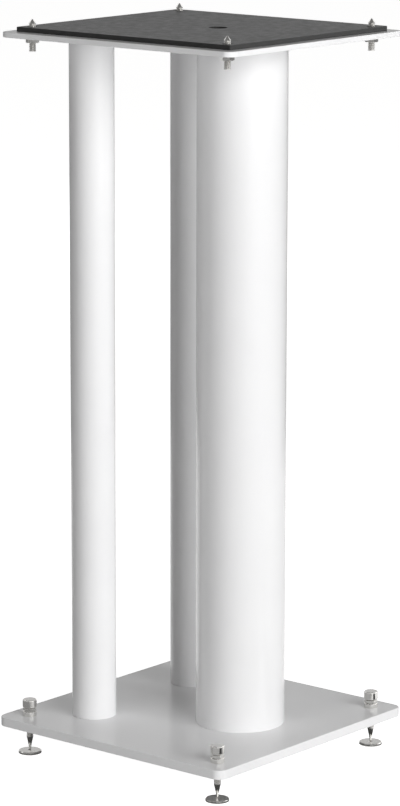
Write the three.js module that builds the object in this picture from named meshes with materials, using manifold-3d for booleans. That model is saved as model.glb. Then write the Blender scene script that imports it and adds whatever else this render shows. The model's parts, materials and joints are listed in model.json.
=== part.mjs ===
// Speaker stand: two steel plates held apart by three round columns, a soft mat on the top
// plate, four levelling feet under the base plate and four short spikes through the top plate.
//
// Millimetres, +Z up. The origin is on the floor under the middle of the base plate, and the
// front of the stand, where the thick column is, faces -Y.

import * as THREE from 'three';
import { mergeVertices } from 'three/addons/utils/BufferGeometryUtils.js';
import Module from 'manifold-3d';

const wasm = await Module();
wasm.setup();

// ---------------------------------------------------------------- plates

const FLOOR_CLEARANCE = 25.5; // floor to the underside of the base plate
const BASE_WIDTH = 250; // along X
const BASE_DEPTH = 250; // along Y
const BASE_THICKNESS = 8;
const TOP_SIDE_SETBACK = 10; // the top plate is this much narrower than the base at each side
const TOP_END_SETBACK = 0; // and this much shorter at the front and at the back
const TOP_THICKNESS = 4.5;
const PLATE_CORNER_RADIUS = 9;
const PLATE_EDGE_CHAMFER = 0.6;

const MAT_SIDE_MARGIN = 11; // bare strip of top plate beside the mat
const MAT_END_MARGIN = 10; // bare strip of top plate in front of and behind the mat
const MAT_THICKNESS = 4;
const MAT_CORNER_RADIUS = 1;

// ---------------------------------------------------------------- columns

const COLUMN_LENGTH = 585;
const FRONT_COLUMN_RADIUS = 38.1;
const FRONT_COLUMN_WALL = 2;
const FRONT_COLUMN_INSET = 81.5; // column axis to the base plate's front edge
const REAR_COLUMN_RADIUS = 19.05;
const REAR_COLUMN_WALL = 1.5;
const REAR_COLUMN_SIDE_INSET = 59.5; // column axis to the base plate's side edge
const REAR_COLUMN_BACK_INSET = 59.5; // column axis to the base plate's back edge
const PLUG_THICKNESS = 8; // the discs welded into the ends of the columns

const CABLE_HOLE_RADIUS = 8;
const CABLE_HOLE_SETBACK = 26.5; // behind the front column's axis
const CABLE_NOTCH_MARGIN = 1; // the plugs' notch is this much wider than the cable hole

// ---------------------------------------------------------------- column screws

const SCREW_RADIUS = 3; // M6
const SCREW_HEAD_RADIUS = 5.7;
const SCREW_SOCKET_ACROSS_FLATS = 4;
const SCREW_SOCKET_DEPTH = 1.8;
const SCREW_END_RECESS = 1; // screw tip to the far face of the plug
const FRONT_SCREW_INSET = 16.1; // outside of the front column to the axis of each of its screws

// ---------------------------------------------------------------- feet

const FOOT_INSET = 20; // foot axis to the base plate's two nearest edges
const FOOT_SPIKE_RADIUS = 3; // M6 thread, drawn plain
const FOOT_CONE_LENGTH = 7.5;
const FOOT_POINT_RADIUS = 1.35; // where the cone ends and the slender point starts
const FOOT_POINT_LENGTH = 6.1;
const FOOT_TIP_RADIUS = 0.4;

const BUSH_BARREL_RADIUS = 4.5;
const BUSH_FLANGE_RADIUS = 6;
const BUSH_FLANGE_HEIGHT = 4;
const JAM_NUT_ACROSS_FLATS = 10;
const JAM_NUT_HEIGHT = 3;
const KNOB_RADIUS = 6.1;
const KNOB_HEIGHT = 7.3;
const KNOB_BORE_DEPTH = 5.5;
const KNOB_CHAMFER = 0.8;

const DISC_RADIUS = 10;
const DISC_THICKNESS = 2.5;
const DISC_CHAMFER = 0.7;
const DIMPLE_RADIUS = 2;
const DIMPLE_DEPTH = 1.4;

// ---------------------------------------------------------------- top spikes

const TOP_SPIKE_INSET = 20; // spike axis to the top plate's two nearest edges
const TOP_SPIKE_RADIUS = 3; // M6 thread, drawn plain
const TOP_SPIKE_REACH = 6.35; // tip above the mat
const TOP_CONE_LENGTH = 3.6;
const TOP_TIP_RADIUS = 0.35;
const TOP_SPIKE_TAIL = 12; // lower end below the top plate
const TOP_NUT_ACROSS_FLATS = 10;
const TOP_NUT_HEIGHT = 5;
const MAT_HOLE_MARGIN = 1; // clear ring round each spike in the mat

// ---------------------------------------------------------------- fits and facets

const CLEARANCE = 0.3; // between a round piece and the hole that it sits in
const CUT_MARGIN = 1; // how far a cutter runs past the face that it opens
const MERGE_DISTANCE = 1e-4; // vertices closer than this are one vertex
const SMALL_SIDES = 20; // facets round a screw, spike, bush, knob or their holes
const DISC_SIDES = 28;
const PLUG_SIDES = 32;
const REAR_COLUMN_SIDES = 48;
const FRONT_COLUMN_SIDES = 72;
const CORNER_SIDES = 6; // facets round one corner of a plate

// ---------------------------------------------------------------- derived sizes

const BASE_TOP_Z = FLOOR_CLEARANCE + BASE_THICKNESS;
const TOP_UNDERSIDE_Z = BASE_TOP_Z + COLUMN_LENGTH;
const TOP_FACE_Z = TOP_UNDERSIDE_Z + TOP_THICKNESS;

const TOP_WIDTH = BASE_WIDTH - 2 * TOP_SIDE_SETBACK;
const TOP_DEPTH = BASE_DEPTH - 2 * TOP_END_SETBACK;
const MAT_WIDTH = TOP_WIDTH - 2 * MAT_SIDE_MARGIN;
const MAT_DEPTH = TOP_DEPTH - 2 * MAT_END_MARGIN;

const FRONT_COLUMN_Y = -BASE_DEPTH / 2 + FRONT_COLUMN_INSET;
const REAR_COLUMN_X = BASE_WIDTH / 2 - REAR_COLUMN_SIDE_INSET;
const REAR_COLUMN_Y = BASE_DEPTH / 2 - REAR_COLUMN_BACK_INSET;
const CABLE_Y = FRONT_COLUMN_Y + CABLE_HOLE_SETBACK;

const SCREW_HEAD_DEPTH = SCREW_HEAD_RADIUS - SCREW_RADIUS; // a 90 degree countersink
const FRONT_SCREW_OFFSET = FRONT_COLUMN_RADIUS - FRONT_SCREW_INSET;

// The three columns, each with its screws as sideways offsets from its axis.
const COLUMNS = [
  { name: 'front_column', x: 0, y: FRONT_COLUMN_Y, radius: FRONT_COLUMN_RADIUS,
    wall: FRONT_COLUMN_WALL, sides: FRONT_COLUMN_SIDES, cable: true,
    screws: [['left', -FRONT_SCREW_OFFSET], ['right', FRONT_SCREW_OFFSET]] },
  { name: 'rear_left_column', x: -REAR_COLUMN_X, y: REAR_COLUMN_Y, radius: REAR_COLUMN_RADIUS,
    wall: REAR_COLUMN_WALL, sides: REAR_COLUMN_SIDES, cable: false, screws: [['centre', 0]] },
  { name: 'rear_right_column', x: REAR_COLUMN_X, y: REAR_COLUMN_Y, radius: REAR_COLUMN_RADIUS,
    wall: REAR_COLUMN_WALL, sides: REAR_COLUMN_SIDES, cable: false, screws: [['centre', 0]] },
];

// The four corners: name, side along X, side along Y.
const CORNERS = [
  ['front_left', -1, -1],
  ['front_right', 1, -1],
  ['rear_left', -1, 1],
  ['rear_right', 1, 1],
];

// ---------------------------------------------------------------- materials

const satinWhite = { color: 0xf4f4f5, roughness: 0.32, metalness: 0.0 };
const polishedMetal = { color: 0xc9c7c3, roughness: 0.14, metalness: 1.0 };
const zincSteel = { color: 0xaeb0b2, roughness: 0.35, metalness: 1.0 };
const darkFoam = { color: 0x3b3b3a, roughness: 0.9, metalness: 0.0 };

// ---------------------------------------------------------------- solids

/** A solid of revolution about Z. The profile is [radius, height] pairs, outer side upward. */
function lathe(profile, sides = SMALL_SIDES) {
  const points = profile.map(([radius, height]) => new THREE.Vector2(radius, height));
  return new THREE.LatheGeometry(points, sides).rotateX(Math.PI / 2);
}

/** A round bar, or with a bore a sleeve, between two heights. */
function roundBar(radius, low, high, sides = SMALL_SIDES, bore = 0) {
  const outer = [[bore, low], [radius, low], [radius, high], [bore, high]];
  return lathe(bore > 0 ? [...outer, [bore, low]] : outer, sides);
}

/** A flat outline raised to a thickness, with a small chamfer round both faces. */
function raise(shape, thickness, chamfer = 0) {
  const geometry = new THREE.ExtrudeGeometry(shape, {
    depth: thickness - 2 * chamfer,
    bevelEnabled: chamfer > 0,
    bevelThickness: chamfer,
    bevelSize: chamfer,
    bevelOffset: -chamfer,
    bevelSegments: 1,
    curveSegments: CORNER_SIDES,
  });
  return geometry.translate(0, 0, chamfer);
}

/** A rectangle with round corners, centred on the origin. */
function roundedRectangle(width, depth, radius) {
  const x = width / 2;
  const y = depth / 2;
  const shape = new THREE.Shape();
  shape.moveTo(x, -y + radius);
  shape.absarc(x - radius, y - radius, radius, 0, Math.PI / 2);
  shape.absarc(-x + radius, y - radius, radius, Math.PI / 2, Math.PI);
  shape.absarc(-x + radius, -y + radius, radius, Math.PI, 1.5 * Math.PI);
  shape.absarc(x - radius, -y + radius, radius, 1.5 * Math.PI, 2 * Math.PI);
  return shape;
}

/** A hexagon, given its size across the flats. */
function hexagon(acrossFlats) {
  const cornerRadius = acrossFlats / Math.sqrt(3);
  const corners = [0, 60, 120, 180, 240, 300].map((degrees) => {
    const angle = THREE.MathUtils.degToRad(degrees);
    return new THREE.Vector2(cornerRadius * Math.cos(angle), cornerRadius * Math.sin(angle));
  });
  return new THREE.Shape(corners);
}

/** Turns a closed geometry into a solid that can be joined and cut. */
function toSolid(geometry) {
  const bare = geometry.clone();
  bare.deleteAttribute('normal');
  bare.deleteAttribute('uv');
  const merged = mergeVertices(bare, MERGE_DISTANCE);
  const index = merged.index.array;
  const triangles = [];
  for (let i = 0; i < index.length; i += 3) {
    const [a, b, c] = [index[i], index[i + 1], index[i + 2]];
    if (a !== b && b !== c && c !== a) triangles.push(a, b, c);
  }
  return new wasm.Manifold(new wasm.Mesh({
    numProp: 3,
    vertProperties: new Float32Array(merged.attributes.position.array),
    triVerts: new Uint32Array(triangles),
  }));
}

/** Turns a solid back into a geometry. */
function toGeometry(solid) {
  const mesh = solid.getMesh();
  const geometry = new THREE.BufferGeometry();
  geometry.setAttribute('position', new THREE.BufferAttribute(mesh.vertProperties, 3));
  geometry.setIndex(new THREE.BufferAttribute(mesh.triVerts, 1));
  geometry.computeVertexNormals();
  return geometry;
}

/** Cuts a list of geometries out of one geometry. */
function cut(geometry, cutters) {
  let solid = toSolid(geometry);
  for (const cutter of cutters) solid = solid.subtract(toSolid(cutter));
  return toGeometry(solid);
}

/** A cutter for a plain round hole that goes right through a plate of the given thickness. */
function throughHole(radius, thickness, x, y) {
  return roundBar(radius, -CUT_MARGIN, thickness + CUT_MARGIN).translate(x, y, 0);
}

// ---------------------------------------------------------------- pieces

/**
 * A countersunk screw, or with a clearance the cutter for its hole. Its head face is at
 * height 0, and the shank runs downwards when up is 1 and upwards when it is -1.
 */
function countersunk(length, up, clearance = 0) {
  const shank = SCREW_RADIUS + clearance;
  const head = SCREW_HEAD_RADIUS + clearance;
  const side = [[0, -length], [shank, -length], [shank, -SCREW_HEAD_DEPTH], [head, 0]];
  const end = clearance > 0 ? [[head, CUT_MARGIN], [0, CUT_MARGIN]] : [[0, 0]];
  const profile = [...side, ...end].map(([radius, height]) => [radius, height * up]);
  return lathe(up > 0 ? profile : profile.reverse());
}

function columnScrew(length, up) {
  const depth = SCREW_SOCKET_DEPTH + CUT_MARGIN;
  const socket = raise(hexagon(SCREW_SOCKET_ACROSS_FLATS), depth);
  socket.translate(0, 0, up > 0 ? -SCREW_SOCKET_DEPTH : -CUT_MARGIN);
  return cut(countersunk(length, up), [socket]);
}

/** Where each column screw stands: [node name, x, y]. */
function screwPlaces(level) {
  return COLUMNS.flatMap((column) => column.screws.map(([side, offset]) => [
    `${column.name}_${level}_screw_${side}`, column.x + offset, column.y,
  ]));
}

/** The foot or spike positions of a plate: [corner name, x, y]. */
function cornerPlaces(width, depth, inset) {
  return CORNERS.map(([name, sideX, sideY]) => [
    name, sideX * (width / 2 - inset), sideY * (depth / 2 - inset),
  ]);
}

const FEET = cornerPlaces(BASE_WIDTH, BASE_DEPTH, FOOT_INSET);
const TOP_SPIKES = cornerPlaces(TOP_WIDTH, TOP_DEPTH, TOP_SPIKE_INSET);

/** The base plate has screw heads let into its underside, so it cuts them from height 0 up. */
function basePlate() {
  const outline = roundedRectangle(BASE_WIDTH, BASE_DEPTH, PLATE_CORNER_RADIUS);
  const holes = [throughHole(CABLE_HOLE_RADIUS, BASE_THICKNESS, 0, CABLE_Y)];
  for (const [, x, y] of FEET) {
    holes.push(throughHole(BUSH_BARREL_RADIUS + CLEARANCE, BASE_THICKNESS, x, y));
  }
  for (const [, x, y] of screwPlaces('base')) {
    holes.push(countersunk(BASE_THICKNESS + CUT_MARGIN, -1, CLEARANCE).translate(x, y, CLEARANCE));
  }
  return cut(raise(outline, BASE_THICKNESS, PLATE_EDGE_CHAMFER), holes);
}

/** The top plate has screw heads let into its top face, under the mat. */
function topPlate() {
  const outline = roundedRectangle(TOP_WIDTH, TOP_DEPTH, PLATE_CORNER_RADIUS);
  const holes = [throughHole(CABLE_HOLE_RADIUS, TOP_THICKNESS, 0, CABLE_Y)];
  for (const [, x, y] of TOP_SPIKES) {
    holes.push(throughHole(TOP_SPIKE_RADIUS + CLEARANCE, TOP_THICKNESS, x, y));
  }
  for (const [, x, y] of screwPlaces('top')) {
    const cutter = countersunk(TOP_THICKNESS + CUT_MARGIN, 1, CLEARANCE);
    holes.push(cutter.translate(x, y, TOP_THICKNESS - CLEARANCE));
  }
  return cut(raise(outline, TOP_THICKNESS, PLATE_EDGE_CHAMFER), holes);
}

function mat() {
  const outline = roundedRectangle(MAT_WIDTH, MAT_DEPTH, MAT_CORNER_RADIUS);
  const holes = [throughHole(CABLE_HOLE_RADIUS, MAT_THICKNESS, 0, CABLE_Y)];
  for (const [, x, y] of TOP_SPIKES) {
    holes.push(throughHole(TOP_SPIKE_RADIUS + MAT_HOLE_MARGIN, MAT_THICKNESS, x, y));
  }
  return cut(raise(outline, MAT_THICKNESS), holes);
}

function columnTube({ radius, wall, sides }) {
  return roundBar(radius, 0, COLUMN_LENGTH, sides, radius - wall);
}

/** A disc inside the end of a column, tapped for its screws and notched for a cable. */
function columnPlug({ radius, wall, screws, cable }) {
  const plugRadius = radius - wall - CLEARANCE;
  const cutters = screws.map(([, offset]) => (
    throughHole(SCREW_RADIUS + CLEARANCE, PLUG_THICKNESS, offset, 0)));
  if (cable) {
    const notch = CABLE_HOLE_RADIUS + CABLE_NOTCH_MARGIN;
    const height = PLUG_THICKNESS + 2 * CUT_MARGIN;
    const reach = radius - CABLE_HOLE_SETBACK;
    cutters.push(throughHole(notch, PLUG_THICKNESS, 0, CABLE_HOLE_SETBACK));
    cutters.push(new THREE.BoxGeometry(2 * notch, reach, height)
      .translate(0, CABLE_HOLE_SETBACK + reach / 2, PLUG_THICKNESS / 2));
  }
  return cut(roundBar(plugRadius, 0, PLUG_THICKNESS, PLUG_SIDES), cutters);
}

/** A plain hexagon nut with its thread drawn as a smooth bore. */
function nut(acrossFlats, height, threadRadius) {
  const bore = throughHole(threadRadius + CLEARANCE, height, 0, 0);
  return cut(raise(hexagon(acrossFlats), height), [bore]);
}

/** The flanged bush in the base plate. Height 0 is the plate's top face. */
function footBush() {
  const bore = FOOT_SPIKE_RADIUS + CLEARANCE;
  return lathe([
    [bore, -BASE_THICKNESS], [BUSH_BARREL_RADIUS, -BASE_THICKNESS], [BUSH_BARREL_RADIUS, 0],
    [BUSH_FLANGE_RADIUS, 0], [BUSH_FLANGE_RADIUS, BUSH_FLANGE_HEIGHT],
    [bore, BUSH_FLANGE_HEIGHT], [bore, -BASE_THICKNESS],
  ]);
}

/** The knob on the upper end of a foot's spike, with a blind bore from below. */
function footKnob() {
  const bore = FOOT_SPIKE_RADIUS + CLEARANCE;
  return lathe([
    [0, KNOB_BORE_DEPTH], [bore, KNOB_BORE_DEPTH], [bore, 0],
    [KNOB_RADIUS - KNOB_CHAMFER, 0], [KNOB_RADIUS, KNOB_CHAMFER],
    [KNOB_RADIUS, KNOB_HEIGHT - KNOB_CHAMFER], [KNOB_RADIUS - KNOB_CHAMFER, KNOB_HEIGHT],
    [0, KNOB_HEIGHT],
  ]);
}

/** A foot's spike from its tip at height 0 to its upper end. */
function footSpike(length) {
  const coneTop = FOOT_POINT_LENGTH + FOOT_CONE_LENGTH;
  return lathe([
    [0, 0], [FOOT_TIP_RADIUS, 0], [FOOT_POINT_RADIUS, FOOT_POINT_LENGTH],
    [FOOT_SPIKE_RADIUS, coneTop], [FOOT_SPIKE_RADIUS, length], [0, length],
  ]);
}

/** The disc that keeps a foot's point off the floor, dimpled to hold it. */
function floorDisc() {
  const dimpleFloor = DISC_THICKNESS - DIMPLE_DEPTH;
  return lathe([
    [0, 0], [DISC_RADIUS, 0], [DISC_RADIUS, DISC_THICKNESS - DISC_CHAMFER],
    [DISC_RADIUS - DISC_CHAMFER, DISC_THICKNESS], [DIMPLE_RADIUS, DISC_THICKNESS],
    [FOOT_TIP_RADIUS + CLEARANCE, dimpleFloor], [0, dimpleFloor],
  ], DISC_SIDES);
}

/** A top spike. Height 0 is the top plate's underside. */
function topSpike() {
  const tip = TOP_THICKNESS + MAT_THICKNESS + TOP_SPIKE_REACH;
  return lathe([
    [0, -TOP_SPIKE_TAIL], [TOP_SPIKE_RADIUS, -TOP_SPIKE_TAIL],
    [TOP_SPIKE_RADIUS, tip - TOP_CONE_LENGTH], [TOP_TIP_RADIUS, tip], [0, tip],
  ]);
}

// ---------------------------------------------------------------- assembly

const stand = new THREE.Group();

/** Adds one named piece to a group. */
function place(group, name, geometry, finish, x = 0, y = 0, z = 0) {
  const mesh = new THREE.Mesh(geometry, new THREE.MeshStandardMaterial(finish));
  mesh.name = name;
  mesh.position.set(x, y, z);
  group.add(mesh);
}

/** Adds a group that stands at a place in the stand. */
function groupAt(x, y, z) {
  const group = new THREE.Group();
  group.position.set(x, y, z);
  stand.add(group);
  return group;
}

place(stand, 'base_plate', basePlate(), satinWhite, 0, 0, FLOOR_CLEARANCE);
place(stand, 'top_plate', topPlate(), satinWhite, 0, 0, TOP_UNDERSIDE_Z);
place(stand, 'mat', mat(), darkFoam, 0, 0, TOP_FACE_Z);

for (const column of COLUMNS) {
  const group = groupAt(column.x, column.y, BASE_TOP_Z);
  const plugTopZ = COLUMN_LENGTH - PLUG_THICKNESS;
  place(group, column.name, columnTube(column), satinWhite);
  place(group, `${column.name}_base_plug`, columnPlug(column), zincSteel);
  place(group, `${column.name}_top_plug`, columnPlug(column), zincSteel, 0, 0, plugTopZ);
}

const reachIntoPlug = PLUG_THICKNESS - SCREW_END_RECESS - CLEARANCE;
for (const [name, x, y] of screwPlaces('base')) {
  const screw = columnScrew(BASE_THICKNESS + reachIntoPlug, -1);
  place(stand, name, screw, zincSteel, x, y, FLOOR_CLEARANCE + CLEARANCE);
}
for (const [name, x, y] of screwPlaces('top')) {
  const screw = columnScrew(TOP_THICKNESS + reachIntoPlug, 1);
  place(stand, name, screw, zincSteel, x, y, TOP_FACE_Z - CLEARANCE);
}

const spikeTipZ = DISC_THICKNESS - DIMPLE_DEPTH + CLEARANCE;
const jamNutZ = BASE_TOP_Z + BUSH_FLANGE_HEIGHT;
const knobZ = jamNutZ + JAM_NUT_HEIGHT + CLEARANCE;
const spikeEndZ = knobZ + KNOB_BORE_DEPTH - CLEARANCE;
for (const [corner, x, y] of FEET) {
  const foot = groupAt(x, y, 0);
  const jamNut = nut(JAM_NUT_ACROSS_FLATS, JAM_NUT_HEIGHT, FOOT_SPIKE_RADIUS);
  place(foot, `floor_disc_${corner}`, floorDisc(), polishedMetal);
  place(foot, `foot_spike_${corner}`, footSpike(spikeEndZ - spikeTipZ), polishedMetal,
    0, 0, spikeTipZ);
  place(foot, `foot_bush_${corner}`, footBush(), polishedMetal, 0, 0, BASE_TOP_Z);
  place(foot, `foot_jam_nut_${corner}`, jamNut, polishedMetal, 0, 0, jamNutZ);
  place(foot, `foot_knob_${corner}`, footKnob(), polishedMetal, 0, 0, knobZ);
}

for (const [corner, x, y] of TOP_SPIKES) {
  const holder = groupAt(x, y, TOP_UNDERSIDE_Z);
  const lockNut = nut(TOP_NUT_ACROSS_FLATS, TOP_NUT_HEIGHT, TOP_SPIKE_RADIUS);
  place(holder, `top_spike_${corner}`, topSpike(), polishedMetal);
  place(holder, `top_spike_nut_${corner}`, lockNut, polishedMetal, 0, 0, -TOP_NUT_HEIGHT);
}

export default stand;
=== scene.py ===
# %% [markdown]
# # A white steel speaker stand
#
# This notebook dresses a speaker stand for a product picture. Its bones come from a CAD
# frame: two steel plates, three tubes, four screw-in feet and four short spikes on top.
# The frame has the right sizes and knows what moves, but its round parts are faceted and
# its surfaces are bare. Each piece is built again here as a fine mesh, in the same place.

# %% Load the frame
import json
import math

import bmesh
import bpy
from mathutils import Matrix, Vector


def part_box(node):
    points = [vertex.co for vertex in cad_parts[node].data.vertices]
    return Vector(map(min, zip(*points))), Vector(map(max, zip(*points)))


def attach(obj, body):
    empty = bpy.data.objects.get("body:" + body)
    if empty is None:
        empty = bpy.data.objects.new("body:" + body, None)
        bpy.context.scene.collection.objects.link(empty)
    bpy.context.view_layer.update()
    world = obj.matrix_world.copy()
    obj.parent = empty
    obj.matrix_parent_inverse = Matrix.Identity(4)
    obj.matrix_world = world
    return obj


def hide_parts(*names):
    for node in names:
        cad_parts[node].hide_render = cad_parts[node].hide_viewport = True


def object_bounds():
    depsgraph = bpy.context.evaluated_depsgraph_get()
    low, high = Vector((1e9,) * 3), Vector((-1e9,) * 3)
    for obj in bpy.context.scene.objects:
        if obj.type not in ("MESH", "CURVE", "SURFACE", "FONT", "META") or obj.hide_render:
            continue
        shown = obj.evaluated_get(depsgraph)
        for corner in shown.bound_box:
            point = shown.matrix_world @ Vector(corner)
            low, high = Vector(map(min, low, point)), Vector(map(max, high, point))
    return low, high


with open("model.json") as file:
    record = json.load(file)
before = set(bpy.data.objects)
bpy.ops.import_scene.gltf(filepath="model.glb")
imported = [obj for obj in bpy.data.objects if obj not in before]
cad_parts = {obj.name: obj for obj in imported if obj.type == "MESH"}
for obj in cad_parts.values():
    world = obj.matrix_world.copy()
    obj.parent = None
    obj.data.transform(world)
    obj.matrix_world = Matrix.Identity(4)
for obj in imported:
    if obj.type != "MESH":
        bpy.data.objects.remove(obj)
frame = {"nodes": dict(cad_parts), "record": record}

MM = 0.001
cad_low, cad_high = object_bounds()
print(f"frame: {len(frame['nodes'])} pieces, {(cad_high - cad_low).z / MM:.2f} mm tall")

# %% [markdown]
# ## The camera
#
# The stand was photographed from about three metres away with a long lens, from a little
# above and from the left of its front. A long lens keeps the columns nearly parallel. The
# camera is built from the way it looks (yaw, pitch and roll), because a matrix of its own
# three axes has no doubt about order, as Euler angles would.

# %% Camera
CAMERA_PLACE = Vector((-2.3112, -1.9222, 0.9229))
CAMERA_YAW = math.radians(50.224)  # from +Y towards +X
CAMERA_PITCH = math.radians(11.594)  # downwards
CAMERA_ROLL = math.radians(0.101)
SENSOR = 36.0
LENS = 160.86
NEAREST, FARTHEST = 0.1, 60.0  # what the camera can see, in metres from it

ahead = Vector((math.sin(CAMERA_YAW) * math.cos(CAMERA_PITCH),
                math.cos(CAMERA_YAW) * math.cos(CAMERA_PITCH),
                -math.sin(CAMERA_PITCH)))
level_right = Vector((math.cos(CAMERA_YAW), -math.sin(CAMERA_YAW), 0.0))
level_up = level_right.cross(ahead)
right = level_right * math.cos(CAMERA_ROLL) + level_up * math.sin(CAMERA_ROLL)
up = right.cross(ahead)

camera_data = bpy.data.cameras.new("camera")
camera_data.sensor_width = SENSOR
camera_data.lens = LENS
camera_data.clip_start = NEAREST
camera_data.clip_end = FARTHEST
camera = bpy.data.objects.new("camera", camera_data)
camera.matrix_world = Matrix((right, up, -ahead)).transposed().to_4x4()
camera.location = CAMERA_PLACE
bpy.context.scene.collection.objects.link(camera)
bpy.context.scene.camera = camera
print(f"camera: {CAMERA_PLACE.length:.2f} m from the origin, {LENS:.0f} mm lens")

# %% [markdown]
# ## The sky
#
# A picture on white needs two skies. One lights the stand, and has to be faint, because
# even light flattens a white object. The other is what the camera and the mirror-like
# surfaces look at, and is plain white. A Light Path node tells the rays apart. A sky
# picture would light the stand too, but its clouds would show in the metal.

# %% World
SKY_LIGHT = 0.125
SKY_WARMTH = (1.0, 0.985, 0.965, 1.0)

scene = bpy.context.scene
scene.view_settings.view_transform = "Standard"


def add_node(tree, kind, inputs=None, **settings):
    """Adds a node to a tree, sets its plain settings and fills or links its inputs."""
    node = tree.nodes.new(kind)
    for key, value in settings.items():
        setattr(node, key, value)
    for key, value in (inputs or {}).items():
        if isinstance(value, bpy.types.NodeSocket):
            tree.links.new(value, node.inputs[key])
        else:
            node.inputs[key].default_value = value
    return node


def seen_directly(tree):
    """A value that is 1 for rays from the camera, in a mirror or through glass."""
    rays = add_node(tree, "ShaderNodeLightPath").outputs
    first = add_node(tree, "ShaderNodeMath", operation="MAXIMUM",
                     inputs={0: rays["Is Camera Ray"], 1: rays["Is Glossy Ray"]})
    both = add_node(tree, "ShaderNodeMath", operation="MAXIMUM",
                    inputs={0: first.outputs[0], 1: rays["Is Transmission Ray"]})
    return both.outputs[0]


world = bpy.data.worlds.new("studio")
scene.world = world
world.use_nodes = True
sky = world.node_tree
sky.nodes.clear()
soft_sky = add_node(sky, "ShaderNodeBackground",
                    {"Color": SKY_WARMTH, "Strength": SKY_LIGHT})
white_sky = add_node(sky, "ShaderNodeBackground",
                     {"Color": (1.0, 1.0, 1.0, 1.0), "Strength": 1.0})
choose = add_node(sky, "ShaderNodeMixShader",
                  {"Fac": seen_directly(sky), 1: soft_sky.outputs[0], 2: white_sky.outputs[0]})
add_node(sky, "ShaderNodeOutputWorld", {"Surface": choose.outputs[0]})
print(f"sky: strength {SKY_LIGHT} as light, 1 as background")

# %% [markdown]
# ## Light for a white object
#
# White paint shows its shape only through shade, so the light comes from one side. A wide
# and tall soft lamp stands in front: it is low enough to make the upright faces much
# brighter than the tops of the plates, and tall enough for the top plate to shade the
# columns softly just under it. A weak one fills from the left, and one behind keeps the
# back white and draws the columns' left edges. Light adds up, so each lamp was first
# rendered alone, and most of the powers could then be worked out from the tones wanted.
# Mirror-like surfaces don't see the lamps, because a lamp's own picture in the polished
# metal would be a hard white square.

# %% Lamps
LAMP_DISTANCE = 3.2
LAMPS = {  # power in watts, width and height in metres, turn from the front towards +X, rise
    "key": (94.0, 2.6, 2.2, math.radians(-14.0), math.radians(14.0)),
    "fill": (10.0, 1.3, 1.3, math.radians(-90.0), math.radians(12.0)),
    "back": (28.0, 2.6, 1.3, math.radians(160.0), math.radians(3.0)),
}

middle = (cad_low + cad_high) / 2
for name, (power, width, tall, turn, rise) in LAMPS.items():
    towards = Vector((math.sin(turn) * math.cos(rise), -math.cos(turn) * math.cos(rise),
                      math.sin(rise)))
    lamp_data = bpy.data.lights.new(name, "AREA")
    lamp_data.shape = "RECTANGLE"
    lamp_data.size, lamp_data.size_y = width, tall
    lamp_data.energy = power
    lamp = bpy.data.objects.new(name, lamp_data)
    lamp.location = middle + towards * LAMP_DISTANCE
    lamp.rotation_mode = "QUATERNION"
    lamp.rotation_quaternion = towards.to_track_quat("Z", "Y")
    lamp.visible_glossy = False
    scene.collection.objects.link(lamp)
    print(f"{name} lamp: {power:.0f} W, {math.degrees(rise):.0f} degrees up")

# %% [markdown]
# ## The floor
#
# A white floor that runs into a white background needs care: lit only by the lamps it
# would be grey. Part of its white is its own glow, which only the camera and mirrors see,
# and the rest is paint that the lamps light. Where the stand shades it, the painted part
# goes dark, so the shadow stays.

# %% Floor
FLOOR_REACH = 12.0
FLOOR_TILES = 8
FLOOR_GLOW = 0.88
FLOOR_PAINT = 0.8

floor_mesh = bmesh.new()
bmesh.ops.create_grid(floor_mesh, x_segments=FLOOR_TILES, y_segments=FLOOR_TILES,
                      size=FLOOR_REACH)
floor_data = bpy.data.meshes.new("floor")
floor_mesh.to_mesh(floor_data)
floor_mesh.free()
floor = bpy.data.objects.new("floor", floor_data)
scene.collection.objects.link(floor)

floor_paint = bpy.data.materials.new("floor_paint")
floor_paint.use_nodes = True
tree = floor_paint.node_tree
tree.nodes.clear()
paint = add_node(tree, "ShaderNodeBsdfDiffuse",
                 {"Color": (FLOOR_PAINT, FLOOR_PAINT, FLOOR_PAINT, 1.0)})
glow = add_node(tree, "ShaderNodeEmission", {"Strength": FLOOR_GLOW})
painted_glow = add_node(tree, "ShaderNodeAddShader", {0: paint.outputs[0], 1: glow.outputs[0]})
floor_mix = add_node(tree, "ShaderNodeMixShader",
                     {"Fac": seen_directly(tree), 1: paint.outputs[0], 2: painted_glow.outputs[0]})
add_node(tree, "ShaderNodeOutputMaterial", {"Surface": floor_mix.outputs[0]})
floor_data.materials.append(floor_paint)
print(f"floor: {2 * FLOOR_REACH:.0f} m across")

# %% [markdown]
# ## The white powder coat
#
# The plates and tubes are steel under a glossy white powder coat. Such a coat melts and
# flows in the oven, and keeps a faint wavy skin that makers call orange peel. Two noises
# give it here: one bends the surface over a couple of millimetres, and a wide one makes
# some places a little glossier than others. The colour is nearly even, as on the real one.

# %% Powder coat
COAT_WHITE = (0.885, 0.885, 0.89, 1.0)
COAT_SHADE = (0.86, 0.86, 0.867, 1.0)
COAT_GLOSS = (0.17, 0.25)  # roughness, from the glossiest places to the dullest
PEEL_WAVES = 520.0  # waves in a metre
PEEL_DEPTH = 0.02 * MM
DRIFT_WAVES = 14.0
NOISE_LOW, NOISE_HIGH = 0.3, 0.7  # nearly all of a noise lies between these


def new_finish(name):
    """An empty material with one Principled shader: returns the material, tree and shader."""
    material = bpy.data.materials.new(name)
    material.use_nodes = True
    tree = material.node_tree
    return material, tree, tree.nodes["Principled BSDF"]


def noise(tree, waves, detail=2.0):
    """A noise over the piece's own coordinates, from 0 to 1."""
    place = add_node(tree, "ShaderNodeTexCoord").outputs["Object"]
    return add_node(tree, "ShaderNodeTexNoise",
                    {"Vector": place, "Scale": waves, "Detail": detail}).outputs["Fac"]


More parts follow.
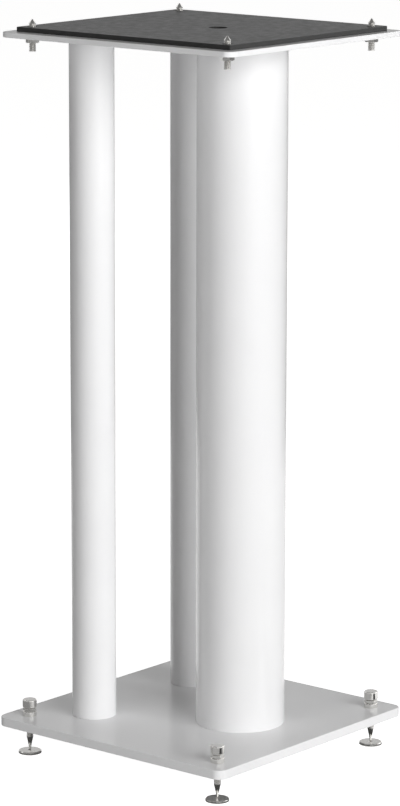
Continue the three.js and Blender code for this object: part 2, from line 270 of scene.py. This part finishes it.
def between(tree, value, low, high):
    """Stretches the middle of a noise to run from one number to another."""
    return add_node(tree, "ShaderNodeMapRange",
                    {"Value": value, "From Min": NOISE_LOW, "From Max": NOISE_HIGH,
                     "To Min": low, "To Max": high}).outputs["Result"]


def two_colours(tree, value, first, second):
    """Mixes two colours by a noise. The node's sockets 6 and 7 are its two colours."""
    mix = add_node(tree, "ShaderNodeMix", {0: between(tree, value, 0.0, 1.0)}, data_type="RGBA")
    mix.inputs[6].default_value = first
    mix.inputs[7].default_value = second
    return mix.outputs[2]


def bumped(tree, shader, value, depth):
    """Bends the shader's normal as if the value were a height of the given depth in metres."""
    bump = add_node(tree, "ShaderNodeBump", {"Height": value, "Distance": depth})
    tree.links.new(bump.outputs["Normal"], shader.inputs["Normal"])


powder_coat, tree, shader = new_finish("powder_coat")
drift = noise(tree, DRIFT_WAVES)
tree.links.new(two_colours(tree, drift, COAT_WHITE, COAT_SHADE), shader.inputs["Base Color"])
tree.links.new(between(tree, drift, *COAT_GLOSS), shader.inputs["Roughness"])
bumped(tree, shader, noise(tree, PEEL_WAVES), PEEL_DEPTH)
print(f"powder coat: orange peel {1 / PEEL_WAVES / MM:.1f} mm wide")

# %% [markdown]
# ## The rubber mat
#
# The mat is a dense dark rubber with a fine grain. Rubber this dark still looks grey at a
# low angle, because every rough surface scatters some light forwards there. So its own
# colour is nearly black, and the shader's reflection makes the grey. A fine grain and a
# coarser mottle keep it from looking like plastic film.

# %% Rubber
RUBBER_DARK = (0.012, 0.012, 0.012, 1.0)
RUBBER_PALE = (0.02, 0.02, 0.0195, 1.0)
RUBBER_GLOSS = (0.38, 0.5)
GRAIN_WAVES = 1400.0
GRAIN_DEPTH = 0.12 * MM
MOTTLE_WAVES = 160.0

mat_rubber, tree, shader = new_finish("mat_rubber")
mottle = noise(tree, MOTTLE_WAVES, detail=4.0)
tree.links.new(two_colours(tree, mottle, RUBBER_DARK, RUBBER_PALE), shader.inputs["Base Color"])
tree.links.new(between(tree, mottle, *RUBBER_GLOSS), shader.inputs["Roughness"])
bumped(tree, shader, noise(tree, GRAIN_WAVES, detail=3.0), GRAIN_DEPTH)
print(f"rubber: grain {1 / GRAIN_WAVES / MM:.1f} mm wide")

# %% [markdown]
# ## Polished nickel and bright zinc
#
# The feet and spikes are turned steel under polished nickel, a warm mirror. A lathe leaves
# rings round the axis that polishing never quite takes away, so the roughness follows the
# distance from the axis. Each piece's own origin is put on its axis later, so that these
# rings are centred. The screws under the plates are zinc plated, which is duller and bluer.

# %% Metals
NICKEL = (0.80, 0.79, 0.77, 1.0)
NICKEL_WORN = (0.75, 0.74, 0.715, 1.0)
NICKEL_GLOSS = (0.07, 0.16)
ZINC = (0.62, 0.63, 0.65, 1.0)
ZINC_DULL = (0.52, 0.53, 0.55, 1.0)
ZINC_GLOSS = (0.28, 0.42)
FULL_TURN = 2 * math.pi
RING_SPACING = 0.45 * MM
RING_DEPTH = 0.002 * MM
WAVE_RATE = 20.0  # a wave texture's phase runs this much in one unit, at a scale of 1
SMEAR_WAVES = 420.0


def metal(name, bright, dull, gloss):
    """A turned and plated metal: even plating with faint rings round the piece's axis."""
    material, tree, shader = new_finish(name)
    shader.inputs["Metallic"].default_value = 1.0
    smear = noise(tree, SMEAR_WAVES, detail=3.0)
    tree.links.new(two_colours(tree, smear, bright, dull), shader.inputs["Base Color"])
    tree.links.new(between(tree, smear, *gloss), shader.inputs["Roughness"])
    place = add_node(tree, "ShaderNodeTexCoord").outputs["Object"]
    rings = add_node(tree, "ShaderNodeTexWave",
                     {"Vector": place, "Scale": FULL_TURN / WAVE_RATE / RING_SPACING},
                     wave_type="RINGS", rings_direction="Z")
    bumped(tree, shader, rings.outputs["Fac"], RING_DEPTH)
    return material


nickel = metal("nickel", NICKEL, NICKEL_WORN, NICKEL_GLOSS)
zinc = metal("zinc", ZINC, ZINC_DULL, ZINC_GLOSS)
FINISH_OF_SLOT = {"white_paint": powder_coat, "grey_mat": mat_rubber,
                  "polished_metal": nickel, "zinc_steel": zinc}
print(f"finishes: {', '.join(finish.name for finish in FINISH_OF_SLOT.values())}")

# %% [markdown]
# ## From frame to pieces
#
# Every fine piece stands for one node of the frame, takes its finish from that node's
# slot, and rides on that node's body, so one helper does all three. It also shades the
# piece: smooth all over, but sharp at real edges. The weighted normals let wide flat faces
# keep their own direction, so only the small round edges between them look round.

# %% Placing a piece
BODY_OF = {node: body for body, nodes in frame["record"]["behaviour"]["bodies"].items()
           for node in nodes}
SLOT_OF = {row["node"]: row["material_slot"] for row in frame["record"]["subparts"]}
SHARP_ANGLE = math.radians(40.0)


def finish_piece(node, mesh, origin):
    """Makes a mesh, built in millimetres about its own origin, the finished form of a node."""
    bmesh.ops.recalc_face_normals(mesh, faces=mesh.faces)
    bmesh.ops.scale(mesh, vec=(MM, MM, MM), verts=mesh.verts)
    data = bpy.data.meshes.new("finished_" + node)
    mesh.to_mesh(data)
    mesh.free()
    data.shade_smooth()
    data.set_sharp_from_angle(angle=SHARP_ANGLE)
    data.materials.append(FINISH_OF_SLOT[SLOT_OF[node]])
    piece = bpy.data.objects.new("finished_" + node, data)
    piece.location = origin
    scene.collection.objects.link(piece)
    normals = piece.modifiers.new("even_shading", "WEIGHTED_NORMAL")
    normals.keep_sharp = True
    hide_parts(node)
    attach(piece, BODY_OF[node])
    return piece


def seat(node):
    """Where a round node stands: its lowest point on its axis, its radius and its height."""
    low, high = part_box(node)
    foot = Vector(((low.x + high.x) / 2, (low.y + high.y) / 2, low.z))
    return foot, (high.x - low.x) / 2 / MM, (high.z - low.z) / MM


print(f"bodies: {len(set(BODY_OF.values()))}, finishes by slot: {sorted(set(SLOT_OF.values()))}")

# %% [markdown]
# ## Turning on a lathe
#
# Most pieces here are turned, so they are made as a lathe makes them: an outline swept
# round an axis. The outline is a list of corners, each with its own small fillet, because
# a real edge is never quite sharp, and it is the fillets that catch the light. The radius
# of a row may also be a function of the angle, which gives hexagons and threads as well.

# %% The lathe
ARC_STEPS = 5


def rounded(corners, closed=False):
    """Turns corners (radius, height, fillet) into an outline with an arc at each fillet."""
    outline = []
    last = len(corners) - 1
    for i, (radius, height, fillet) in enumerate(corners):
        here = Vector((radius, height))
        if fillet == 0 or (not closed and i in (0, last)):
            outline.append((radius, height))
            continue
        back = (Vector(corners[i - 1][:2]) - here).normalized()
        on = (Vector(corners[(i + 1) % len(corners)][:2]) - here).normalized()
        half = back.angle(on) / 2
        centre = here + (back + on).normalized() * fillet / math.sin(half)
        first = (here + back * fillet / math.tan(half) - centre).normalized()
        final = (here + on * fillet / math.tan(half) - centre).normalized()
        for step in range(ARC_STEPS + 1):
            outline.append(tuple(centre + fillet * first.slerp(final, step / ARC_STEPS)))
    return outline


def bridge(mesh, rings, closed=False):
    """Joins each ring of vertices to the next with faces. A ring of one vertex is a pole."""
    for low, high in zip(rings, rings[1:] + rings[:1] if closed else rings[1:]):
        sides = max(len(low), len(high))
        for i in range(sides):
            j = (i + 1) % sides
            corners = (low[i % len(low)], low[j % len(low)],
                       high[j % len(high)], high[i % len(high)])
            mesh.faces.new(dict.fromkeys(corners))


def turned(outline, sides=64, closed=False):
    """A mesh of revolution about Z. A row is (radius, height), or (function of angle, height)."""
    mesh = bmesh.new()
    rings = []
    for radius, height in outline:
        reach = radius if callable(radius) else lambda angle, same=radius: same
        count = 1 if radius == 0 else sides
        ring = []
        for i in range(count):
            angle = FULL_TURN * i / sides
            x, y = reach(angle) * math.cos(angle), reach(angle) * math.sin(angle)
            ring.append(mesh.verts.new((x, y, height)))
        rings.append(ring)
    bridge(mesh, rings, closed)
    return mesh


print(f"fillets: {ARC_STEPS} steps each")

# %% [markdown]
# ## The tubes
#
# Each column is plain steel tube, cut square and lightly broken at its ends. The bore is
# modelled too: the cable runs up the thick one, and a camera can look in through the hole.
# A turned outline that closes on itself gives both walls at once.

# %% Columns
TUBE_WALL = {"front_column": 2.0, "rear_left_column": 1.5, "rear_right_column": 1.5}
TUBE_BREAK = 0.3
TUBE_SIDES = 144

for column, wall in TUBE_WALL.items():
    foot, radius, height = seat(column)
    outline = rounded([(radius, 0, TUBE_BREAK), (radius, height, TUBE_BREAK),
                       (radius - wall, height, TUBE_BREAK), (radius - wall, 0, TUBE_BREAK)],
                      closed=True)
    finish_piece(column, turned(outline, TUBE_SIDES, closed=True), foot)
    print(f"{column}: {2 * radius:.1f} mm tube, {height:.0f} mm long")

# %% [markdown]
# ## Sheets with holes
#
# The plates and the mat are flat sheets with round corners, a softened edge and holes.
# Cutting holes with booleans would leave ragged shading round them. Instead every wall is
# built first, the outer one and one in each hole, and then the two flat faces between
# their rims are filled with triangles. Each hole has an outline of its own, so that a
# countersink or a rounded rim is as easy as a plain bore.

# %% Building a sheet
CORNER_STEPS = 14
HOLE_SIDES = 48


def rounded_rectangle(half_x, half_y, corner):
    """Points round a rectangle with round corners, counterclockwise."""
    points = []
    for quarter, (x, y) in enumerate(((1, 1), (-1, 1), (-1, -1), (1, -1))):
        centre = Vector((x * (half_x - corner), y * (half_y - corner)))
        for step in range(CORNER_STEPS + 1):
            angle = (quarter + step / CORNER_STEPS) * math.pi / 2
            points.append(centre + corner * Vector((math.cos(angle), math.sin(angle))))
    return points


def ring_edges(mesh, ring):
    """The edges between each vertex of a ring and the next."""
    return [mesh.edges.get((ring[i - 1], ring[i])) for i in range(len(ring))]


def sheet(node, corner, edge, holes):
    """A flat sheet in place of a node. A hole is (place, outline from the top face down)."""
    low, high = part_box(node)
    origin = Vector(((low.x + high.x) / 2, (low.y + high.y) / 2, low.z))
    half_x, half_y = (high.x - low.x) / 2 / MM, (high.y - low.y) / 2 / MM
    thick = (high.z - low.z) / MM
    mesh = bmesh.new()
    rims = [[], []]
    wall = rounded([(-edge, thick, 0), (0, thick, edge), (0, 0, edge), (-edge, 0, 0)])
    rings = [[mesh.verts.new((*point, height)) for point in
              rounded_rectangle(half_x + out, half_y + out, corner + out)]
             for out, height in wall[1:-1]]
    walls = [rings]
    for place, outline in holes:
        across = (place - origin) / MM
        walls.append([[mesh.verts.new((across.x + radius * math.cos(FULL_TURN * i / HOLE_SIDES),
                                       across.y + radius * math.sin(FULL_TURN * i / HOLE_SIDES),
                                       height)) for i in range(HOLE_SIDES)]
                      for radius, height in outline])
    for rings in walls:
        bridge(mesh, rings)
        rims[0] += ring_edges(mesh, rings[0])
        rims[1] += ring_edges(mesh, rings[-1])
    for rim in rims:
        bmesh.ops.triangle_fill(mesh, use_beauty=True, edges=rim)
    return finish_piece(node, mesh, origin)


def bore(radius, thick, edge):
    """The outline of a plain hole with a rounded rim at both faces."""
    return rounded([(radius + 2 * edge, thick, 0), (radius, thick, edge),
                    (radius, 0, edge), (radius + 2 * edge, 0, 0)])[1:-1]


print(f"holes: {HOLE_SIDES} sides")

# %% [markdown]
# ## The plates and the mat
#
# Where the holes go is read from the frame: the bushes, the spikes, the column screws and
# the cable way each say where they stand. The column screws are sunk into the underside of
# the base plate and into the top of the top plate, so their holes open in a cone there.

# %% Plates and mat
CORNERS = ("front_left", "front_right", "rear_left", "rear_right")
PLATE_CORNER = 9.0
PLATE_EDGE = 0.6
MAT_CORNER = 1.0
MAT_EDGE = 0.5
HOLE_EDGE = 0.25
CABLE_HOLE = 8.0
BUSH_HOLE = 4.6
SPIKE_HOLE = 3.15
MAT_RING = 4.0  # the clear hole in the mat round each spike
SINK_HEAD = 5.9
SINK_SHANK = 3.2
SINK_RIM = 0.2

cable_box = frame["record"]["physics"]["openings"][0]["box_m"]
cable_way = (Vector(cable_box[0]) + Vector(cable_box[1])) / 2
feet = [seat("foot_bush_" + corner)[0] for corner in CORNERS]
spikes = [seat("top_spike_" + corner)[0] for corner in CORNERS]
screws = {level: [node for node in SLOT_OF if f"_{level}_screw_" in node]
          for level in ("base", "top")}


def thickness(node):
    """How thick a flat node is, in millimetres."""
    low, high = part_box(node)
    return (high.z - low.z) / MM


def countersink(thick, upward):
    """The outline of a countersunk hole, opening at the top face or at the underside."""
    cone = SINK_HEAD - SINK_SHANK
    rows = [(SINK_HEAD, thick), (SINK_HEAD, thick - SINK_RIM),
            (SINK_SHANK, thick - SINK_RIM - cone), (SINK_SHANK, 0)]
    return rows if upward else [(radius, thick - height) for radius, height in reversed(rows)]


base_thick, top_thick, mat_thick = (thickness(node) for node in ("base_plate", "top_plate", "mat"))
sheet("base_plate", PLATE_CORNER, PLATE_EDGE,
      [(cable_way, bore(CABLE_HOLE, base_thick, HOLE_EDGE))]
      + [(place, bore(BUSH_HOLE, base_thick, HOLE_EDGE)) for place in feet]
      + [(seat(node)[0], countersink(base_thick, upward=False)) for node in screws["base"]])
sheet("top_plate", PLATE_CORNER, PLATE_EDGE,
      [(cable_way, bore(CABLE_HOLE, top_thick, HOLE_EDGE))]
      + [(place, bore(SPIKE_HOLE, top_thick, HOLE_EDGE)) for place in spikes]
      + [(seat(node)[0], countersink(top_thick, upward=True)) for node in screws["top"]])
sheet("mat", MAT_CORNER, MAT_EDGE,
      [(cable_way, bore(CABLE_HOLE, mat_thick, HOLE_EDGE))]
      + [(place, bore(MAT_RING, mat_thick, MAT_EDGE)) for place in spikes])
print(f"plates: {base_thick:.1f} and {top_thick:.1f} mm thick, mat {mat_thick:.1f} mm")

# %% [markdown]
# ## Threads
#
# The feet and the top spikes are M6 screws. A thread could be a ridge wound round a rod,
# but that leaves two meshes cutting through each other. Here the rod's own radius rises
# and falls with height and angle, in the standard shape: flanks at 60 degrees, a narrow
# flat crest and a wider flat root. It climbs one millimetre in a turn, and fades in where
# it starts and ends, as a cut thread does.

# %% Threads
PITCH = 1.0
THREAD_DEPTH = 0.5413 * PITCH
CREST = PITCH / 16  # half of the crest's flat
ROOT = PITCH * 3 / 8  # from the middle of a crest to where the root's flat starts
ROWS_IN_PITCH = 10
THREAD_SIDES = 40


def threaded(radius, low, high, fade_low, fade_high):
    """Rows of a threaded rod between two heights. Each end fades in over its own length."""
    def row(height):
        start = min(1.0, (height - low) / fade_low) if fade_low else 1.0
        end = min(1.0, (high - height) / fade_high) if fade_high else 1.0

        def reach(angle):
            turn = (height / PITCH - angle / FULL_TURN) % 1.0
            away = abs(turn - 0.5) * PITCH
            cut = min(max((away - CREST) / (ROOT - CREST), 0.0), 1.0)
            return radius - THREAD_DEPTH * cut * start * end
        return reach, height
    count = round((high - low) / PITCH * ROWS_IN_PITCH)
    return [row(low + (high - low) * i / count) for i in range(count + 1)]


print(f"thread: M6, {THREAD_DEPTH:.2f} mm deep")

# %% [markdown]
# ## The feet
#
# Each foot is a stack: a dimpled disc on the floor, a pointed spike in the dimple, a
# flanged bush in the plate, a thin hexagon nut that locks the spike, and a smooth round
# knob to turn it by. All but the nut come straight off the lathe.

# %% Feet
SPIKE_RADIUS = 3.0
CONE_LENGTH = 7.5
POINT_RADIUS = 1.35
POINT_LENGTH = 6.1
TIP_RADIUS = 0.4
TIP_FILLET = 0.7  # how far a tip is rounded, as a share of its radius
CONE_EDGE = 0.25
BUSH_BARREL = 4.5
BUSH_EDGE = 0.45
CLOSE_BORE = 3.05
KNOB_EDGE = 0.95
KNOB_BORE_DEPTH = 5.5
KNOB_DISH = 0.12
DISC_EDGE = 0.35
DISC_SLOPE = 0.7
DIMPLE_RADIUS = 2.0
DIMPLE_DEPTH = 1.4


def foot_spike(length):
    """A spike from its tip up: slender point, cone, then thread to a chamfered end."""
    cone_top = POINT_LENGTH + CONE_LENGTH
    point = rounded([(0, 0, 0), (TIP_RADIUS, 0, TIP_RADIUS * TIP_FILLET),
                     (POINT_RADIUS, POINT_LENGTH, CONE_EDGE), (SPIKE_RADIUS, cone_top, 0)])
    rod = threaded(SPIKE_RADIUS, cone_top, length, PITCH, PITCH)
    return turned(point[:-1] + rod + [(SPIKE_RADIUS - THREAD_DEPTH, length), (0, length)],
                  THREAD_SIDES)


def bush(flange_radius, height, barrel_height):
    """A flanged sleeve. Height 0 is the lower end of its barrel."""
    return turned(rounded([
        (BUSH_BARREL, 0, HOLE_EDGE), (BUSH_BARREL, barrel_height, 0),
        (flange_radius, barrel_height, HOLE_EDGE), (flange_radius, height, BUSH_EDGE),
        (CLOSE_BORE, height, HOLE_EDGE), (CLOSE_BORE, 0, HOLE_EDGE)], closed=True), closed=True)


def knob(radius, height):
    """A cap with big round edges, a faintly dished top and a blind bore from below."""
    return turned(rounded([
        (0, KNOB_BORE_DEPTH, 0), (CLOSE_BORE, KNOB_BORE_DEPTH, 0), (CLOSE_BORE, 0, HOLE_EDGE),
        (radius, 0, KNOB_EDGE), (radius, height, KNOB_EDGE), (0, height - KNOB_DISH, 0)]))


def floor_disc(radius, height):
    """A disc with a sloped shoulder and a cone-shaped dimple for the spike's point."""
    return turned(rounded([
        (0, 0, 0), (radius, 0, DISC_EDGE), (radius, height - DISC_SLOPE, DISC_EDGE),
        (radius - DISC_SLOPE, height, DISC_EDGE), (DIMPLE_RADIUS, height, DISC_EDGE),
        (TIP_RADIUS, height - DIMPLE_DEPTH, 0), (0, height - DIMPLE_DEPTH, 0)]))


for corner in CORNERS:
    foot, radius, height = seat("foot_spike_" + corner)
    finish_piece("foot_spike_" + corner, foot_spike(height), foot)
    foot, radius, height = seat("foot_bush_" + corner)
    finish_piece("foot_bush_" + corner, bush(radius, height, base_thick), foot)
    foot, radius, height = seat("foot_knob_" + corner)
    finish_piece("foot_knob_" + corner, knob(radius, height), foot)
    foot, radius, height = seat("floor_disc_" + corner)
    finish_piece("floor_disc_" + corner, floor_disc(radius, height), foot)
print(f"feet: {len(CORNERS)}, each with a disc, a spike, a bush and a knob")

# %% [markdown]
# ## Nuts
#
# A hexagon nut is a hexagon cut by a shallow cone at each face, which leaves the curved
# shoulders that make a nut look like a nut. So its radius in any direction is the smaller
# of two: the hexagon's, and the cone's at that height. A few rows close to each face are
# enough to draw the shoulder.

# %% Nuts
NUT_FLATS = 10.0  # across the flats
NUT_FACE = 0.96  # the flat round face, as a share of the size across the flats
NUT_SLOPE = math.tan(math.radians(30.0))
NUT_SIDES = 96
SHOULDER_ROWS = 6


def hexagon(angle, across_flats):
    """How far a hexagon with a corner at angle 0 reaches in a direction."""
    return across_flats / 2 / math.cos(angle % (math.pi / 3) - math.pi / 6)


def nut(height):
    """A hexagon nut with a round face and shoulders at both ends."""
    face = NUT_FLATS / 2 * NUT_FACE
    shoulder = (NUT_FLATS / math.sqrt(3) - face) * NUT_SLOPE

    def row(level):
        cone = face + min(level, height - level) / NUT_SLOPE
        return (lambda angle: min(hexagon(angle, NUT_FLATS), cone)), level
    steps = [shoulder * i / SHOULDER_ROWS for i in range(SHOULDER_ROWS + 1)]
    outside = [row(step) for step in steps] + [row(height - step) for step in reversed(steps)]
    inside = [(CLOSE_BORE + HOLE_EDGE, height), (CLOSE_BORE, height - HOLE_EDGE),
              (CLOSE_BORE, HOLE_EDGE), (CLOSE_BORE + HOLE_EDGE, 0)]
    return turned(outside + inside, NUT_SIDES, closed=True)


for corner in CORNERS:
    for kind in ("foot_jam_nut_", "top_spike_nut_"):
        foot, radius, height = seat(kind + corner)
        finish_piece(kind + corner, nut(height), foot)
print(f"nuts: {2 * len(CORNERS)}, {NUT_FLATS:.0f} mm across the flats")

# %% [markdown]
# ## The spikes on top
#
# The speaker stands on four short points. Each is a threaded rod with a turned cone, held
# under the plate by its nut. The very tip is rounded, because a real one would be.

# %% Top spikes
TOP_CONE = 3.6
TOP_TIP = 0.35


def top_spike(length):
    """A top spike from its lower end up: chamfered end, thread, cone and rounded tip."""
    shoulder = length - TOP_CONE
    cone = rounded([(SPIKE_RADIUS, shoulder, 0), (TOP_TIP, length, TOP_TIP * TIP_FILLET),
                    (0, length, 0)])
    rod = threaded(SPIKE_RADIUS, 0, shoulder, PITCH, PITCH)
    return turned([(0, 0), (SPIKE_RADIUS - THREAD_DEPTH, 0)] + rod + cone[1:], THREAD_SIDES)


for corner in CORNERS:
    foot, radius, height = seat("top_spike_" + corner)
    finish_piece("top_spike_" + corner, top_spike(height), foot)
print(f"top spikes: {len(CORNERS)}, {height:.1f} mm long")

# %% [markdown]
# ## The column screws
#
# Eight countersunk screws hold the plates to the plugs in the tubes. Their heads show only
# from below, where the hexagon sockets catch the light. The socket is one more outline
# with a hexagon for its radius. The plugs themselves are closed in, so the frame's own
# solids stay for them, with the zinc finish.

# %% Column screws
SCREW_SHANK = 3.0
SCREW_SOCKET = 4.0  # across the flats
SOCKET_DEPTH = 1.8
SOCKET_POINT = 0.5
SCREW_EDGE = 0.15
SCREW_SIDES = 60


def column_screw(head, length):
    """A countersunk screw with its head face at height 0 and its shank upwards."""
    def socket(angle):
        return hexagon(angle, SCREW_SOCKET)
    inside = [(0, SOCKET_DEPTH + SOCKET_POINT), (socket, SOCKET_DEPTH), (socket, 0)]
    outside = rounded([(SCREW_SOCKET, 0, 0), (head, 0, SCREW_EDGE),
                       (SCREW_SHANK, head - SCREW_SHANK, SCREW_EDGE),
                       (SCREW_SHANK, length, 2 * SCREW_EDGE), (0, length, 0)])
    return turned(inside + outside, SCREW_SIDES)


for level, names in screws.items():
    for node in names:
        low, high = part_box(node)
        foot, radius, height = seat(node)
        mesh = column_screw(radius, height)
        if level == "top":
            bmesh.ops.rotate(mesh, matrix=Matrix.Rotation(math.pi, 3, "X"), verts=mesh.verts)
            foot.z = high.z
        finish_piece(node, mesh, foot)
print(f"column screws: {len(screws['base']) + len(screws['top'])}")

# %% [markdown]
# ## What the frame keeps
#
# The six plugs inside the tubes can't be seen, and their solids are already right, so they
# are only given their finish.

# %% Plugs
plugs = [node for node in SLOT_OF if node.endswith("_plug")]
for node in plugs:
    slots = frame["nodes"][node].material_slots
    for slot in slots:
        slot.material = FINISH_OF_SLOT[SLOT_OF[node]]
print(f"plugs: {len(plugs)}")

# %% [markdown]
# ## Cards for the metal
#
# Polished metal in an all white room looks like white plastic. Photographers set grey and
# black cards just out of the picture, and it is their reflections that draw the edges. A
# card here is a sheet, flat or in panels, that glows in one even grey. Only reflections see
# it: it casts no shadow and the camera looks through it. An area lamp would make such a
# picture too, but it would also light the stand.

# %% Making a card
CARD_LIFT = 0.2 * MM
SCREEN_DISTANCE = 2.5
SCREEN_FOOT = 0.65  # above the floor: what the pieces at the top mirror lies under it
SCREEN_RISE = math.radians(35.0)
SCREEN_PANELS = 12


def card(name, corners, grey):
    """A card of one even grey that only reflections see: four corners for each panel."""
    data = bpy.data.meshes.new(name)
    data.from_pydata([tuple(corner) for corner in corners], [],
                     [(i, i + 1, i + 2, i + 3) for i in range(0, len(corners), 4)])
    material = bpy.data.materials.new(name)
    material.use_nodes = True
    tree = material.node_tree
    tree.nodes.clear()
    shine = add_node(tree, "ShaderNodeEmission",
                     {"Color": (grey, grey, grey, 1.0), "Strength": 1.0})
    add_node(tree, "ShaderNodeOutputMaterial", {"Surface": shine.outputs[0]})
    data.materials.append(material)
    piece = bpy.data.objects.new(name, data)
    piece.visible_camera = False
    piece.visible_diffuse = False
    piece.visible_transmission = False
    piece.visible_volume_scatter = False
    piece.visible_shadow = False
    scene.collection.objects.link(piece)


def floor_card(name, low_x, low_y, high_x, high_y, grey, layer):
    """A card on the floor. One in a higher layer lies over the others."""
    card(name, [(x, y, layer * CARD_LIFT) for x, y in
                ((low_x, low_y), (high_x, low_y), (high_x, high_y), (low_x, high_y))], grey)


def screen(name, grey, start, end):
    """A curved screen that hangs round the stand, above the floor."""
    towards_camera = Vector((-ahead.x, -ahead.y, 0.0)).normalized()
    posts = []
    for i in range(SCREEN_PANELS + 1):
        turn = start + (end - start) * i / SCREEN_PANELS
        towards = towards_camera * math.cos(turn) + level_right * math.sin(turn)
        posts.append(towards * SCREEN_DISTANCE)
    low = Vector((0.0, 0.0, SCREEN_FOOT))
    high = Vector((0.0, 0.0, SCREEN_DISTANCE * math.tan(SCREEN_RISE)))
    card(name, [corner for one, two in zip(posts, posts[1:])
                for corner in (one + low, two + low, two + high, one + high)], grey)


print(f"screens: {SCREEN_DISTANCE} m away, in {SCREEN_PANELS} panels")

# %% [markdown]
# ## Where the cards stand
#
# An upright mirror sends the camera's rays on down to the floor, at the slope at which they
# came. So what a knob shows lies on the floor, a hand's width away, and cards lie there too:
# grey and white ones all round, and a dark one before each front foot for the dark stripe in
# its knob. The tops of the pieces mirror what is behind them, so grey screens hang at the
# back and at the left, and a bright one at the right is the picture of a wide soft lamp. The
# spikes' cones look upwards, so a grey ceiling hangs over them.

# %% Cards
FAR_REACH = 8.0
NEAR_REACH = 1.2
FAR_GREY = 0.22
NEAR_WHITE = 1.0
CAMERA_SIDE_GREY = 0.45
LEFT_SIDE_GREY = 0.28
# painted shade: the grey that the floor under the stand shows in reflections
PAINTED_SHADE_GREY = 0.06
DARK_GREY = 0.05
DARK_HALF_ANGLE = math.radians(18.0)  # how far to each side a foot sees its dark card
DARK_NEAR = 0.75  # in throws
CEILING_GREY = 0.2
CEILING_HEIGHT = 2.4
CEILING_REACH = 1.9
SCREENS = {  # grey, and from where to where, turning right from the camera as seen by the stand
    "screen_left": (0.25, math.radians(-140.0), math.radians(-5.0)),
    "screen_lamp": (2.0, math.radians(-5.0), math.radians(130.0)),
    "screen_back": (0.55, math.radians(140.0), math.radians(220.0)),
}

knob_low, knob_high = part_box("foot_knob_front_left")
knob_middle = (knob_low + knob_high) / 2
sight = CAMERA_PLACE - knob_middle
throw = knob_middle.z * sight.xy.length / sight.z
floor_card("card_far", -FAR_REACH, -FAR_REACH, FAR_REACH, FAR_REACH, FAR_GREY, 1)
floor_card("card_near", -NEAR_REACH, -NEAR_REACH, NEAR_REACH, NEAR_REACH, NEAR_WHITE, 2)
floor_card("card_camera_side", -NEAR_REACH, -NEAR_REACH, 0, 0, CAMERA_SIDE_GREY, 3)
floor_card("card_left_side", -NEAR_REACH, 0, 0, NEAR_REACH, LEFT_SIDE_GREY, 3)
# The card under the stand is painted shade: a near-black sheet that the metal mirrors in place of
# the shadow the stand casts on the floor.
floor_card("card_painted_shade_under", cad_low.x, cad_low.y, cad_high.x, cad_high.y, PAINTED_SHADE_GREY, 4)
for corner in ("front_left", "front_right"):
    foot = seat("foot_knob_" + corner)[0]
    half = throw * math.tan(DARK_HALF_ANGLE)
    floor_card("card_dark_" + corner, foot.x - half, -NEAR_REACH,
               foot.x + half, foot.y - throw * DARK_NEAR, DARK_GREY, 5)
card("card_ceiling", [(x * CEILING_REACH, y * CEILING_REACH, CEILING_HEIGHT) for x, y in
                      ((-1, -1), (1, -1), (1, 1), (-1, 1))], CEILING_GREY)
for name, (grey, start, end) in SCREENS.items():
    screen(name, grey, start, end)
print(f"cards: a knob mirrors the floor {throw / MM:.0f} mm away")
